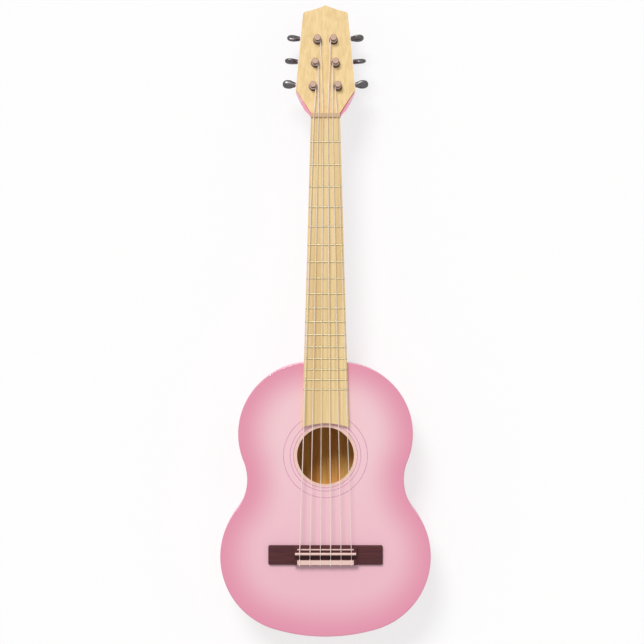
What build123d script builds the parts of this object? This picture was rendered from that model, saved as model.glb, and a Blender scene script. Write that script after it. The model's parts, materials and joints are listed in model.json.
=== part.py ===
from build123d import *
import os
from math import asin, atan, atan2, cos, degrees, pi, radians, sin, sqrt, tan

os.makedirs("parts", exist_ok=True)

# A child's nylon-strung acoustic guitar, lying on its flat back.
# +Y runs along the neck to the head, +Z out of the soundboard, +X to the treble side.
# The origin is on the back face, on the centreline, straight below the soundhole centre.

# ---- Body shell ----
body_depth = 70.0
soundboard_thickness = 3.0
back_thickness = 3.0
side_wall = 3.0
edge_round = 1.2
upper_half_width = 105.1
upper_y = 26.1
upper_radius = 86.0
lower_half_width = 126.6
lower_y = -121.5
lower_radius = 91.0
waist_radius = 58.1
top_arc_radius = 480.0
tail_arc_radius = 217.0

# ---- Soundhole and its inlaid rings ----
hole_radius = 34.25
inlay_depth = 0.6
band_width = 3.9
line_width = 0.7
line_gaps = (12.0, 4.0, 0.0)

# ---- Inside the body ----
neck_block_width = 62.0
neck_block_length = 26.0
tail_block_width = 56.0
tail_block_length = 12.0
lining_width = 5.0
lining_height = 9.0
top_brace_width = 8.0
top_brace_height = 13.0
top_brace_gap = 12.0
fan_brace_width = 5.0
fan_brace_height = 6.0
fan_brace_count = 5
fan_brace_spacing = 27.0
fan_brace_angle = 5.0
fan_brace_margin = 9.0
patch_width = 150.0
patch_length = 32.0
patch_thickness = 2.0
back_brace_width = 8.0
back_brace_height = 12.0
back_brace_places = (("upper", 62.0), ("middle", -45.0), ("lower", -140.0))

# ---- Strings, nut and saddle ----
scale_length = 522.0
compensation = 1.5
saddle_y = -117.2
string_diameters = (0.71, 0.82, 1.02, 0.76, 0.89, 1.09)
nut_string_spacing = 5.6
saddle_string_spacing = 12.4
string_gap = 0.03
nut_thickness = 5.2
nut_cover = 0.5
nut_slot_clearance = 0.3
nut_slot_fall_angle = 28.0
saddle_break_angle = 52.0
nut_string_height = 1.6
saddle_thickness = 2.9
saddle_length = 73.0
saddle_height = 11.4
slot_clearance = 0.05

# ---- Fretboard and frets ----
fretboard_thickness = 5.0
nut_width = 35.0
fretboard_end_width = 56.0
fretboard_end_gap = 5.0
fretboard_end_radius = 80.0
fret_count = 17
fret_crown_width = 2.2
fret_crown_height = 1.0
fret_tang_width = 0.5
fret_tang_depth = 1.8
fret_inset = 0.6

# ---- Neck ----
neck_depth_at_nut = 13.5
neck_depth_at_heel = 16.5
heel_length = 48.0
heel_cap_length = 14.0
heel_cap_gap = 6.0
heel_point = 3.0
heel_steps = 6
tenon_width = 20.0
tenon_length = 15.0
tenon_step = 16.0
tenon_clearance = 0.15

# ---- Head ----
head_tilt = 14.0
head_core_thickness = 12.0
head_face_thickness = 2.0
head_length = 138.4
head_peak = 9.0
head_shoulder_half_width = 27.0
head_widest_half_width = 35.7
head_widest_y = 29.0
head_face_start_half_width = 17.5
head_throat_half_width = 21.8
head_throat_depth = 14.0
flare_length = 14.0
flare_half_width = 29.0
flare_bulge = 0.3
head_corner_radius = 4.0
head_peak_hollow = 1.0
head_back_chamfer = 1.5

# ---- Tuning machines ----
post_pitch = 30.0
first_post_y = 33.0
first_post_half_spacing = 14.9
plate_thickness = 1.0
plate_inner_reach = 6.5
plate_outer_reach = 10.0
plate_end_reach = 12.0
plate_corner_radius = 3.0
screw_offset_low = 8.6
screw_offset_high = 16.7
plate_screw_margin = 3.6
gear_teeth = 14
gear_module = 0.7
gear_face = 4.0
gear_gap = 1.3
gear_backlash = 0.5
gear_root_gap = 0.3
tooth_flank_angle = 20.0
thread_root_overlap = 0.25
worm_phase = 180.0
worm_pitch_radius = 2.4
worm_turns = 2.5
worm_collar_radius = 2.5
worm_collar_thickness = 0.6
worm_collar_gap = 0.95
bearing_clearance = 0.08
lug_thickness = 1.2
lug_end_gap = 0.2
lug_drop = 2.4
post_radius = 4.0
post_waist_radius = 3.0
post_height = 12.0
post_head_height = 3.0
post_neck_radius = 3.0
post_stub_radius = 2.2
rivet_radius = 3.2
rivet_thickness = 1.0
string_hole_radius = 0.8
post_top_round = 0.6
bushing_wall = 0.8
bushing_flange_radius = 5.4
bushing_flange_thickness = 0.5
bushing_depth = 6.0
button_shaft_gap = 1.5
button_hub_radius = 3.0
button_hub_length = 3.0
button_length = 13.0
button_width = 10.5
button_thickness = 6.0
button_edge_round = 2.0
button_socket_depth = 8.0
button_rest_turns = (35.0, 118.0, 62.0, 150.0, 80.0, 15.0)
wrap_top = 6.9
wrap_turns = 2.25
wrap_gap = 0.08
wrap_lead_in = 6.0
screw_head_radius = 2.2
screw_head_height = 1.1
screw_shank_radius = 1.0
screw_length = 7.0

# ---- Bridge ----
bridge_length = 137.4
bridge_front_y = -107.4
bridge_rear_y = -130.8
wing_height = 4.0
block_height = 8.0
block_width = 75.0
bridge_corner_radius = 2.0
bridge_edge_round = 1.4
block_slope = 3.5
saddle_slot_floor = 3.5
channel_floor = 3.6
channel_front_gap = 1.6
tie_block_length = 6.4
strip_length = 67.5
strip_width = 5.6
strip_thickness = 1.0
front_strip_width = 1.4
strip_inset = 0.4
tie_hole_height = 5.6
tie_hole_clearance = 0.25
loop_gap = 0.08
loop_radius = 1.0
nut_bend_radius = 8.0
lead_in_bend_radius = 25.0

# ---- Values that follow from those above ----
top_z = body_depth
cavity_top = top_z - soundboard_thickness
nut_y = saddle_y + compensation + scale_length
head_start_y = nut_y + nut_thickness
board_top_z = top_z + fretboard_thickness
fretboard_end_y = hole_radius + fretboard_end_gap
saddle_top_z = top_z + saddle_height
nut_slot_z = board_top_z + nut_string_height
upper_center = Vector(upper_half_width - upper_radius, upper_y)
lower_center = Vector(lower_half_width - lower_radius, lower_y)


def arc_about(center, start, end):
    """Draws the shorter arc about center from start to end."""
    radius = (start - center).length
    halfway = ((start - center).normalized() + (end - center).normalized()).normalized()
    return ThreePointArc(start, center + halfway * radius, end)


def along(start, toward, distance):
    """Gives the point at a distance from start on the line to another point."""
    return start + (toward - start).normalized() * distance


def end_arc_center(bout_center, bout_radius, arc_radius, side):
    """Gives the centre, on the centreline, of the arc that runs tangent into a bout."""
    drop = sqrt((arc_radius - bout_radius) ** 2 - bout_center.X**2)
    return Vector(0, bout_center.Y - side * drop)


def waist_arc_center():
    """Gives the centre of the waist arc, which touches both bouts from outside."""
    to_upper = upper_radius + waist_radius
    to_lower = lower_radius + waist_radius
    axis = upper_center - lower_center
    along_axis = (to_lower**2 - to_upper**2 + axis.length**2) / (2 * axis.length)
    aside = sqrt(to_lower**2 - along_axis**2)
    unit = axis.normalized()
    return lower_center + unit * along_axis + Vector(unit.Y, -unit.X) * aside


top_arc_center = end_arc_center(upper_center, upper_radius, top_arc_radius, 1)
tail_arc_center = end_arc_center(lower_center, lower_radius, tail_arc_radius, -1)
waist_center = waist_arc_center()
body_top_y = top_arc_center.Y + top_arc_radius
body_tail_y = tail_arc_center.Y - tail_arc_radius


def body_outline(inset):
    """Draws the closed body outline, moved inwards by inset."""
    tail = Vector(0, body_tail_y + inset)
    tail_end = along(tail_arc_center, lower_center, tail_arc_radius - inset)
    waist_low = along(lower_center, waist_center, lower_radius - inset)
    waist_high = along(upper_center, waist_center, upper_radius - inset)
    top_end = along(top_arc_center, upper_center, top_arc_radius - inset)
    top = Vector(0, body_top_y - inset)
    arc_about(tail_arc_center, tail, tail_end)
    arc_about(lower_center, tail_end, waist_low)
    arc_about(waist_center, waist_low, waist_high)
    arc_about(upper_center, waist_high, top_end)
    arc_about(top_arc_center, top_end, top)
    mirror(about=Plane.YZ)


def board_half_width(y):
    """Gives half the fretboard's width at a place along the neck."""
    share = (nut_y - y) / (nut_y - fretboard_end_y)
    return (nut_width + (fretboard_end_width - nut_width) * share) / 2


def write(piece, name):
    """Labels a finished piece and writes it as one STEP file."""
    piece.part.label = name
    export_step(piece.part, f"parts/{name}.step")


# ---- Blanks of the whole body, cut to the inner face and to the linings ----
with BuildPart() as outer_form:
    with BuildSketch():
        with BuildLine():
            body_outline(0)
        make_face()
    extrude(amount=body_depth)

with BuildPart() as cavity_form:
    with BuildSketch(Plane.XY.offset(back_thickness)):
        with BuildLine():
            body_outline(side_wall)
        make_face()
    extrude(amount=cavity_top - back_thickness)

with BuildPart() as brace_form:
    with BuildSketch(Plane.XY.offset(back_thickness)):
        with BuildLine():
            body_outline(side_wall + lining_width)
        make_face()
    extrude(amount=cavity_top - back_thickness)

# ---- Soundboard with the hole and the grooves for its rings ----
band_outer_radius = hole_radius + band_width
line_radii = [band_outer_radius + gap for gap in line_gaps]

with BuildPart() as soundboard:
    with BuildSketch(Plane.XY.offset(cavity_top)):
        with BuildLine():
            body_outline(0)
        make_face()
        Circle(hole_radius, mode=Mode.SUBTRACT)
    extrude(amount=soundboard_thickness)
    fillet(soundboard.faces().sort_by(Axis.Z)[-1].outer_wire().edges(), edge_round)
    with BuildSketch(Plane.XY.offset(top_z)):
        Circle(band_outer_radius)
        Circle(hole_radius, mode=Mode.SUBTRACT)
    extrude(amount=-inlay_depth, mode=Mode.SUBTRACT)
    for line_radius in line_radii:
        with BuildSketch(Plane.XY.offset(top_z)):
            Circle(line_radius + line_width)
            Circle(line_radius, mode=Mode.SUBTRACT)
        extrude(amount=-inlay_depth, mode=Mode.SUBTRACT)
write(soundboard, "soundboard")

with BuildPart() as rosette_band:
    with BuildSketch(Plane.XY.offset(top_z - inlay_depth)):
        Circle(band_outer_radius)
        Circle(hole_radius, mode=Mode.SUBTRACT)
    extrude(amount=inlay_depth)
write(rosette_band, "rosette_band")

with BuildPart() as rosette_lines:
    with BuildSketch(Plane.XY.offset(top_z - inlay_depth)):
        for line_radius in line_radii:
            Circle(line_radius + line_width)
            Circle(line_radius, mode=Mode.SUBTRACT)
    extrude(amount=inlay_depth)
write(rosette_lines, "rosette_lines")

# ---- Back plate and the two bent sides, which meet on the centreline ----
with BuildPart() as back_plate:
    with BuildSketch():
        with BuildLine():
            body_outline(0)
        make_face()
    extrude(amount=back_thickness)
    fillet(back_plate.faces().sort_by(Axis.Z)[0].outer_wire().edges(), edge_round)
write(back_plate, "back_plate")

# ---- Heel height and the tenon that locks the neck into its block ----
heel_bottom_z = heel_cap_gap
tenon_bottom_z = heel_bottom_z + tenon_step
tenon_end_y = body_top_y - side_wall - tenon_length
mortise_width = tenon_width + 2 * tenon_clearance
mortise_bottom_z = tenon_bottom_z - tenon_clearance
mortise_end_y = tenon_end_y - tenon_clearance

with BuildPart() as mortise_form:
    with BuildSketch(Plane.XY.offset(mortise_bottom_z)):
        with Locations((0, (mortise_end_y + body_top_y) / 2)):
            Rectangle(mortise_width, body_top_y - mortise_end_y)
    extrude(amount=cavity_top - mortise_bottom_z)


def make_side(keep):
    """Builds the bent side on one side of the centreline."""
    with BuildPart() as side:
        with BuildSketch(Plane.XY.offset(back_thickness)):
            with BuildLine():
                body_outline(0)
            make_face()
            with BuildLine():
                body_outline(side_wall)
            make_face(mode=Mode.SUBTRACT)
        extrude(amount=cavity_top - back_thickness)
        add(mortise_form.part, mode=Mode.SUBTRACT)
        split(bisect_by=Plane.YZ, keep=keep)
    return side


write(make_side(Keep.TOP), "side_treble")
write(make_side(Keep.BOTTOM), "side_bass")


def make_inner_block(width, low_y, high_y):
    """Builds an end block that fills the cavity between two places along Y."""
    with BuildPart() as block:
        with BuildSketch(Plane.XY.offset(back_thickness)):
            with Locations((0, (low_y + high_y) / 2)):
                Rectangle(width, high_y - low_y)
        extrude(amount=cavity_top - back_thickness)
        add(cavity_form.part, mode=Mode.INTERSECT)
        add(mortise_form.part, mode=Mode.SUBTRACT)
    return block


neck_block_end_y = body_top_y - side_wall - neck_block_length
tail_block_end_y = body_tail_y + side_wall + tail_block_length
neck_block = make_inner_block(neck_block_width, neck_block_end_y, body_top_y)
tail_block = make_inner_block(tail_block_width, body_tail_y, tail_block_end_y)
write(neck_block, "neck_block")
write(tail_block, "tail_block")


def make_linings(bottom_z):
    """Builds the lining strips along the inside of both sides, between the end blocks."""
    with BuildPart() as linings:
        with BuildSketch(Plane.XY.offset(bottom_z)):
            with BuildLine():
                body_outline(side_wall)
            make_face()
            with BuildLine():
                body_outline(side_wall + lining_width)
            make_face(mode=Mode.SUBTRACT)
            with Locations((0, (neck_block_end_y + body_top_y) / 2)):
                Rectangle(neck_block_width, body_top_y - neck_block_end_y, mode=Mode.SUBTRACT)
            with Locations((0, (tail_block_end_y + body_tail_y) / 2)):
                Rectangle(tail_block_width, tail_block_end_y - body_tail_y, mode=Mode.SUBTRACT)
        extrude(amount=lining_height)
    return linings


write(make_linings(cavity_top - lining_height), "top_linings")
write(make_linings(back_thickness), "back_linings")


# ---- Braces, cut to the inner edge of the linings ----
def make_cross_brace(y, width, height, bottom_z):
    """Builds a bar across the body at a place along Y."""
    with BuildPart() as brace:
        with BuildSketch(Plane.XY.offset(bottom_z)):
            with Locations((0, y)):
                Rectangle(2 * lower_half_width, width)
        extrude(amount=height)
        add(brace_form.part, mode=Mode.INTERSECT)
    return brace


brace_bottom_z = cavity_top - top_brace_height
upper_brace_y = fretboard_end_y + top_brace_gap
lower_brace_y = -(hole_radius + top_brace_gap)
upper_brace = make_cross_brace(upper_brace_y, top_brace_width, top_brace_height, brace_bottom_z)
lower_brace = make_cross_brace(lower_brace_y, top_brace_width, top_brace_height, brace_bottom_z)
write(upper_brace, "upper_top_brace")
write(lower_brace, "lower_top_brace")
for place, brace_y in back_brace_places:
    back_brace = make_cross_brace(brace_y, back_brace_width, back_brace_height, back_thickness)
    write(back_brace, f"{place}_back_brace")

bridge_y = (bridge_front_y + bridge_rear_y) / 2
patch_z = cavity_top - patch_thickness
with BuildPart() as bridge_patch:
    with BuildSketch(Plane.XY.offset(patch_z)):
        with Locations((0, bridge_y)):
            Rectangle(patch_width, patch_length)
    extrude(amount=patch_thickness)
write(bridge_patch, "bridge_patch")

fan_start_y = lower_brace_y - top_brace_width / 2
fan_end_y = body_tail_y + side_wall + lining_width + fan_brace_margin
fan_length = fan_start_y - fan_end_y
fan_steps = [step - (fan_brace_count - 1) / 2 for step in range(fan_brace_count)]
with BuildPart() as fan_braces:
    with BuildSketch(Plane.XY.offset(cavity_top - fan_brace_height)):
        for step in fan_steps:
            middle = (step * fan_brace_spacing, bridge_y, 0)
            with Locations(Location(middle, (0, 0, step * fan_brace_angle))):
                Rectangle(fan_brace_width, 2 * fan_length)
        with Locations((0, (fan_start_y + fan_end_y) / 2)):
            Rectangle(2 * lower_half_width, fan_length, mode=Mode.INTERSECT)
        with BuildLine():
            body_outline(side_wall + lining_width + fan_brace_margin)
        make_face(mode=Mode.INTERSECT)
    extrude(amount=fan_brace_height)
    add(bridge_patch.part, mode=Mode.SUBTRACT)
write(fan_braces, "fan_braces")

# ---- Fretboard with its fret slots ----
with BuildPart() as fretboard:
    with BuildSketch(Plane.XY.offset(top_z)):
        corner_x = fretboard_end_width / 2
        corner_drop = fretboard_end_radius - sqrt(fretboard_end_radius**2 - corner_x**2)
        corner = Vector(corner_x, fretboard_end_y - corner_drop)
        with BuildLine():
            Line((0, nut_y), (nut_width / 2, nut_y))
            Line((nut_width / 2, nut_y), corner)
            arc_about(Vector(0, fretboard_end_y - fretboard_end_radius), corner, Vector(0, fretboard_end_y))
            mirror(about=Plane.YZ)
        make_face()
    extrude(amount=fretboard_thickness)
    fret_shares = [1 - 2 ** (-number / 12) for number in range(1, fret_count + 1)]
    fret_places = [nut_y - scale_length * share for share in fret_shares]
    slot_width = fret_tang_width + 2 * slot_clearance
    with BuildSketch(Plane.XY.offset(board_top_z)):
        for fret_y in fret_places:
            with Locations((0, fret_y)):
                Rectangle(2 * fretboard_end_width, slot_width)
    extrude(amount=-fret_tang_depth - slot_clearance, mode=Mode.SUBTRACT)
write(fretboard, "fretboard")

with BuildPart() as frets:
    for fret_y in fret_places:
        fret_half_length = board_half_width(fret_y) - fret_inset
        with BuildSketch(Plane.YZ):
            with BuildLine():
                left = (fret_y - fret_crown_width / 2, board_top_z)
                right = (fret_y + fret_crown_width / 2, board_top_z)
                ThreePointArc(left, (fret_y, board_top_z + fret_crown_height), right)
                Line(right, left)
            make_face()
            with Locations((fret_y, board_top_z - fret_tang_depth / 2)):
                Rectangle(fret_tang_width, fret_tang_depth)
        extrude(amount=fret_half_length, both=True)
write(frets, "frets")

# ---- Planes of the head and of the three machines on its treble edge ----
tilt = radians(head_tilt)
head_plane = Plane(origin=(0, head_start_y, top_z), x_dir=(1, 0, 0), z_dir=(0, sin(tilt), cos(tilt)))
head_shoulder_y = head_length - head_peak
edge_lean = atan2(head_widest_half_width - head_shoulder_half_width, head_shoulder_y - head_widest_y)
edge_distance = (head_widest_half_width - first_post_half_spacing) * cos(edge_lean)
edge_distance -= (first_post_y - head_widest_y) * sin(edge_lean)
first_post = Location((first_post_half_spacing, first_post_y, 0), (0, 0, degrees(edge_lean)))
machine_location = head_plane.location * first_post
post_locations = [machine_location * Location((0, step * post_pitch, 0)) for step in range(3)]
post_hole_radius = post_radius + bearing_clearance + bushing_wall
head_back = -head_core_thickness
plate_back = head_back - plate_thickness

with BuildPart() as post_holes:
    for post_location in post_locations:
        with BuildSketch(Plane(post_location).offset(head_back)):
            Circle(post_hole_radius)
    extrude(amount=head_core_thickness + head_face_thickness)
    mirror(about=Plane.YZ)

screw_steps = [-screw_offset_low] + [step * post_pitch + screw_offset_high for step in range(3)]
screw_locations = [machine_location * Location((0, step, plate_back)) for step in screw_steps]

with BuildPart() as plate_screws:
    for screw_location in screw_locations:
        with BuildSketch(Plane(screw_location)):
            Circle(screw_head_radius)
        extrude(amount=-screw_head_height)
        with BuildSketch(Plane(screw_location)):
            Circle(screw_shank_radius)
        extrude(amount=screw_length)
    mirror(about=Plane.YZ)
write(plate_screws, "plate_screws")


# ---- Head face of bare wood ----
def head_outline(start_y, start_half_width, bulge):
    """Draws the head's outline on the head plane, from a straight lower edge up to the peak."""
    start = Vector(start_half_width, start_y)
    widest = Vector(head_widest_half_width, head_widest_y)
    shoulder = Vector(head_shoulder_half_width, head_shoulder_y)
    peak = Vector(0, head_length)
    flare = (widest - start).normalized()
    swell = Vector(flare.Y, -flare.X) * bulge
    Line((0, start_y), start)
    ThreePointArc(start, (start + widest) / 2 + swell, widest)
    Line(widest, shoulder)
    ThreePointArc(shoulder, (shoulder + peak) / 2 - Vector(0, head_peak_hollow), peak)
    mirror(about=Plane.YZ)


with BuildPart() as headstock_face:
    with BuildSketch(head_plane) as face_profile:
        with BuildLine():
            head_outline(0, head_face_start_half_width, -flare_bulge)
        make_face()
        fillet(face_profile.vertices().group_by(Axis.Y)[-2], head_corner_radius)
    extrude(amount=head_face_thickness)
    add(post_holes.part, mode=Mode.SUBTRACT)
write(headstock_face, "headstock_face")

# ---- Neck: a D section carried from the head to the heel, with the head core and tenon ----
heel_top_y = body_top_y + heel_length
heel_depth = top_z - heel_bottom_z + heel_point
heel_curve_length = heel_length - heel_cap_length
flare_section = Plane(
    origin=head_plane.from_local_coords((0, flare_length, 0)),
    x_dir=(1, 0, 0),
    z_dir=head_plane.y_dir * -1,
)


def neck_plane(y):
    """Gives the upright plane across the neck at a place along Y, level with its top."""
    return Plane(origin=(0, y, top_z), x_dir=(1, 0, 0), z_dir=(0, -1, 0))


neck_sections = [
    (flare_section, flare_half_width, head_core_thickness),
    (neck_plane(head_start_y), head_throat_half_width, head_throat_depth),
    (neck_plane(nut_y - nut_thickness / 2), board_half_width(nut_y), neck_depth_at_nut),
]
for step in range(heel_steps + 1):
    turn = step / heel_steps * pi / 2
    heel_y = heel_top_y - heel_curve_length * sin(turn)
    depth = neck_depth_at_heel + (heel_depth - neck_depth_at_heel) * (1 - cos(turn))
    neck_sections.append((neck_plane(heel_y), board_half_width(heel_y), depth))
neck_sections.append((neck_plane(body_top_y - side_wall), board_half_width(body_top_y), heel_depth))

with BuildPart() as head_core:
    with BuildSketch(head_plane) as core_profile:
        with BuildLine():
            head_outline(flare_length, flare_half_width, flare_bulge)
        make_face()
        fillet(core_profile.vertices().group_by(Axis.Y)[-2], head_corner_radius)
    extrude(amount=head_back)
    back_edges = head_core.faces().sort_by(Axis(head_plane.origin, head_plane.z_dir))[0].edges()
    chamfer(back_edges.sort_by(Axis.Y)[1:], head_back_chamfer)

with BuildPart() as neck:
    for section_plane, half_width, depth in neck_sections:
        with BuildSketch(section_plane):
            with BuildLine():
                Line((half_width, 0), (-half_width, 0))
                EllipticalCenterArc((0, 0), half_width, depth, 180, arc_size=180)
            make_face()
    loft(ruled=True)
    with BuildSketch(Plane.XY):
        Rectangle(2 * lower_half_width, 2 * (head_start_y + head_length))
    extrude(amount=heel_bottom_z, mode=Mode.SUBTRACT)
    add(outer_form.part, mode=Mode.SUBTRACT)
    add(head_core.part)
    with BuildSketch(Plane.XY.offset(tenon_bottom_z)):
        with Locations((0, (tenon_end_y + body_top_y + side_wall) / 2)):
            Rectangle(tenon_width, body_top_y + side_wall - tenon_end_y)
    extrude(amount=cavity_top - tenon_bottom_z)
    add(post_holes.part, mode=Mode.SUBTRACT)
    add(plate_screws.part, mode=Mode.SUBTRACT)
write(neck, "neck")

# ---- Where each string runs: strings 1 to 3 lie on the treble side, 4 to 6 on the bass ----
string_numbers = (1, 2, 3, 4, 5, 6)
nut_top_z = nut_slot_z + nut_cover
nut_middle_y = nut_y + nut_thickness / 2
tie_block_front_y = bridge_rear_y + tie_block_length
block_top_z = top_z + block_height
tie_hole_z = top_z + tie_hole_height


def string_rank(number):
    """Gives how far out a string lies: 0 for the two inner strings, 2 for the two outer."""
    return 3 - number if number <= 3 else number - 4


def string_side(number):
    """Gives 1 for a string on the treble side and -1 for one on the bass side."""
    return 1 if number <= 3 else -1


def nut_x(number):
    """Gives a string's distance from the centreline at the nut."""
    return (string_rank(number) + 0.5) * nut_string_spacing


def saddle_x(number):
    """Gives a string's distance from the centreline at the saddle."""
    return (string_rank(number) + 0.5) * saddle_string_spacing


# ---- Nut, with a slot for each string that falls away towards the head ----
with BuildPart() as nut:
    with BuildSketch(Plane.YZ):
        with Locations((nut_middle_y, (top_z + nut_top_z) / 2)):
            Rectangle(nut_thickness, nut_top_z - top_z)
    extrude(amount=nut_width / 2, both=True)
    fillet(nut.edges().filter_by(Axis.X).group_by(Axis.Z)[-1], nut_cover)
    for number in string_numbers:
        slot_half_width = string_diameters[number - 1] / 2 + nut_slot_clearance
        with BuildSketch(Plane.YZ.offset(string_side(number) * nut_x(number))):
            with BuildLine():
                fall = nut_thickness / 2 * tan(radians(nut_slot_fall_angle))
                floor = nut_slot_z - slot_clearance
                front = (nut_y - slot_clearance, floor)
                middle = (nut_middle_y, floor)
                back = (nut_y + nut_thickness, floor - fall)
                open_top = [(back[0], nut_top_z), (front[0], nut_top_z)]
                Polyline(front, middle, back, *open_top, close=True)
            make_face()
        extrude(amount=slot_half_width, both=True, mode=Mode.SUBTRACT)
write(nut, "nut")

# ---- Bridge, with saddle slot, channel, tie block and its string holes ----
channel_front_y = saddle_y - saddle_thickness / 2 - channel_front_gap
slot_floor_z = top_z + saddle_slot_floor
with BuildPart() as bridge:
    with BuildSketch(Plane.XY.offset(top_z)):
        with Locations((0, bridge_y)):
            RectangleRounded(bridge_length, bridge_front_y - bridge_rear_y, bridge_corner_radius)
    extrude(amount=wing_height)
    fillet(bridge.edges().group_by(Axis.Z)[-1], bridge_edge_round)
    with BuildSketch(Plane.YZ):
        with BuildLine():
            Polyline(
                (bridge_rear_y, top_z),
                (bridge_rear_y, block_top_z),
                (tie_block_front_y, block_top_z),
                (tie_block_front_y, top_z + channel_floor),
                (channel_front_y, top_z + channel_floor),
                (channel_front_y, block_top_z),
                (bridge_front_y - block_slope, block_top_z),
                (bridge_front_y, top_z + wing_height),
                (bridge_front_y, top_z),
                close=True,
            )
        make_face()
    extrude(amount=block_width / 2, both=True)
    with BuildSketch(Plane.XY.offset(block_top_z)):
        with Locations((0, saddle_y)):
            Rectangle(saddle_length, saddle_thickness)
    extrude(amount=slot_floor_z - block_top_z, mode=Mode.SUBTRACT)
    for number in string_numbers:
        with BuildSketch(Plane.XZ.offset(-tie_block_front_y)):
            with Locations((string_side(number) * saddle_x(number), tie_hole_z)):
                Circle(string_diameters[number - 1] / 2 + tie_hole_clearance)
        extrude(amount=tie_block_length, mode=Mode.SUBTRACT)
write(bridge, "bridge")

with BuildPart() as saddle:
    with BuildSketch(Plane.YZ):
        saddle_body_height = saddle_top_z - saddle_thickness / 2 - slot_floor_z
        with Locations((saddle_y, slot_floor_z + saddle_body_height / 2)):
            Rectangle(saddle_thickness, saddle_body_height)
        with Locations((saddle_y, saddle_top_z - saddle_thickness / 2)):
            Circle(saddle_thickness / 2)
    extrude(amount=saddle_length / 2, both=True)
write(saddle, "saddle")

with BuildPart() as bridge_strips:
    with BuildSketch(Plane.XY.offset(block_top_z)):
        with Locations((0, bridge_rear_y + strip_inset + strip_width / 2)):
            Rectangle(strip_length, strip_width)
        with Locations((0, bridge_front_y - block_slope - strip_inset - front_strip_width / 2)):
            Rectangle(strip_length, front_strip_width)
    extrude(amount=strip_thickness)
write(bridge_strips, "bridge_strips")

# ---- Tuning machines, each built once about its own axis ----
gear_radius = gear_teeth * gear_module / 2
worm_lead = pi * gear_module
center_distance = gear_radius + worm_pitch_radius
worm_lead_angle = atan(worm_lead / (2 * pi * worm_pitch_radius))
worm_root_radius = worm_pitch_radius - gear_module - gear_root_gap / 2
worm_tip_radius = worm_pitch_radius + gear_module - gear_root_gap / 2
gear_tip_radius = gear_radius + gear_module - gear_root_gap / 2
gear_root_radius = gear_radius - gear_module - gear_root_gap / 2
tooth_thickness = worm_lead / 2 - gear_backlash / 2
flank_slope = tan(radians(tooth_flank_angle))
gear_front = plate_back - gear_gap
gear_middle = gear_front - gear_face / 2
thread_length = worm_turns * worm_lead
collar_end = thread_length / 2 + worm_collar_gap + worm_collar_thickness
lug_inner = collar_end + lug_end_gap
lug_outer = lug_inner + lug_thickness
button_start = edge_distance + button_shaft_gap
shaft_end = button_start + button_socket_depth
bearing_radius = worm_root_radius + bearing_clearance

with BuildPart() as gear_form:
    twist = degrees(gear_face * tan(worm_lead_angle) / gear_radius)
    for height, turn in ((-gear_face / 2, -twist / 2), (gear_face / 2, twist / 2)):
        corners = []
        for tooth in range(gear_teeth):
            tooth_angle = 90 + turn + (tooth + 0.5) * 360 / gear_teeth
            for radius, flank in (
                (gear_root_radius, -1),
                (gear_tip_radius, -1),
                (gear_tip_radius, 1),
                (gear_root_radius, 1),
            ):
                half_thickness = tooth_thickness / 2 - (radius - gear_radius) * flank_slope
                angle = radians(tooth_angle) + flank * half_thickness / radius
                corners.append((radius * cos(angle), radius * sin(angle)))
        with BuildSketch(Plane.XY.offset(height)):
            with BuildLine():
                Polyline(corners, close=True)
            make_face()
    loft(ruled=True)
    with BuildSketch(Plane.XY.offset(-gear_face / 2)):
        Circle(post_stub_radius)
    extrude(amount=gear_face, mode=Mode.SUBTRACT)

with BuildPart() as worm_thread:
    with BuildLine():
        thread_path = Helix(worm_lead, thread_length, worm_root_radius, center=(0, 0, -thread_length / 2))
    root_half = tooth_thickness / 2 + (worm_pitch_radius - worm_root_radius) * flank_slope
    tip_half = tooth_thickness / 2 - (worm_tip_radius - worm_pitch_radius) * flank_slope
    thread_height = worm_tip_radius - worm_root_radius
    with BuildSketch(Plane(origin=thread_path @ 0, x_dir=(1, 0, 0), z_dir=thread_path % 0)):
        with BuildLine():
            Polyline(
                (-thread_root_overlap, -root_half),
                (thread_height, -tip_half),
                (thread_height, tip_half),
                (-thread_root_overlap, root_half),
                close=True,
            )
        make_face()
    sweep(path=thread_path, is_frenet=True)

with BuildPart() as worm_form:
    with BuildSketch(Plane.XY.offset(-lug_outer)):
        Circle(worm_root_radius)
    extrude(amount=lug_outer + shaft_end)
    for collar_start in (-collar_end, collar_end - worm_collar_thickness):
        with BuildSketch(Plane.XY.offset(collar_start)):
            Circle(worm_collar_radius)
        extrude(amount=worm_collar_thickness)
    add(worm_thread.part)

with BuildPart() as post_form:
    waist_low = head_face_thickness + bushing_flange_thickness + post_radius - post_waist_radius
    waist_high = post_height - post_head_height
    flare_height = post_radius - post_waist_radius
    with BuildSketch(Plane.XZ):
        with BuildLine():
            Polyline(
                (0, gear_front - gear_face - rivet_thickness),
                (rivet_radius, gear_front - gear_face - rivet_thickness),
                (rivet_radius, gear_front - gear_face),
                (post_stub_radius, gear_front - gear_face),
                (post_stub_radius, gear_front),
                (post_neck_radius, gear_front),
                (post_neck_radius, head_back + bearing_clearance),
                (post_radius, head_back + bearing_clearance),
                (post_radius, waist_low - flare_height),
                (post_waist_radius, waist_low),
                (post_waist_radius, waist_high),
                (post_radius, waist_high + flare_height),
                (post_radius, post_height),
                (0, post_height),
                close=True,
            )
        make_face()
    revolve(axis=Axis.Z)
    fillet(post_form.edges().sort_by(Axis.Z)[-1], post_top_round)
    with BuildSketch(Plane.XZ):
        with Locations((0, waist_high - 2 * string_hole_radius)):
            Circle(string_hole_radius)
    extrude(amount=2 * post_radius, both=True, mode=Mode.SUBTRACT)

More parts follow.
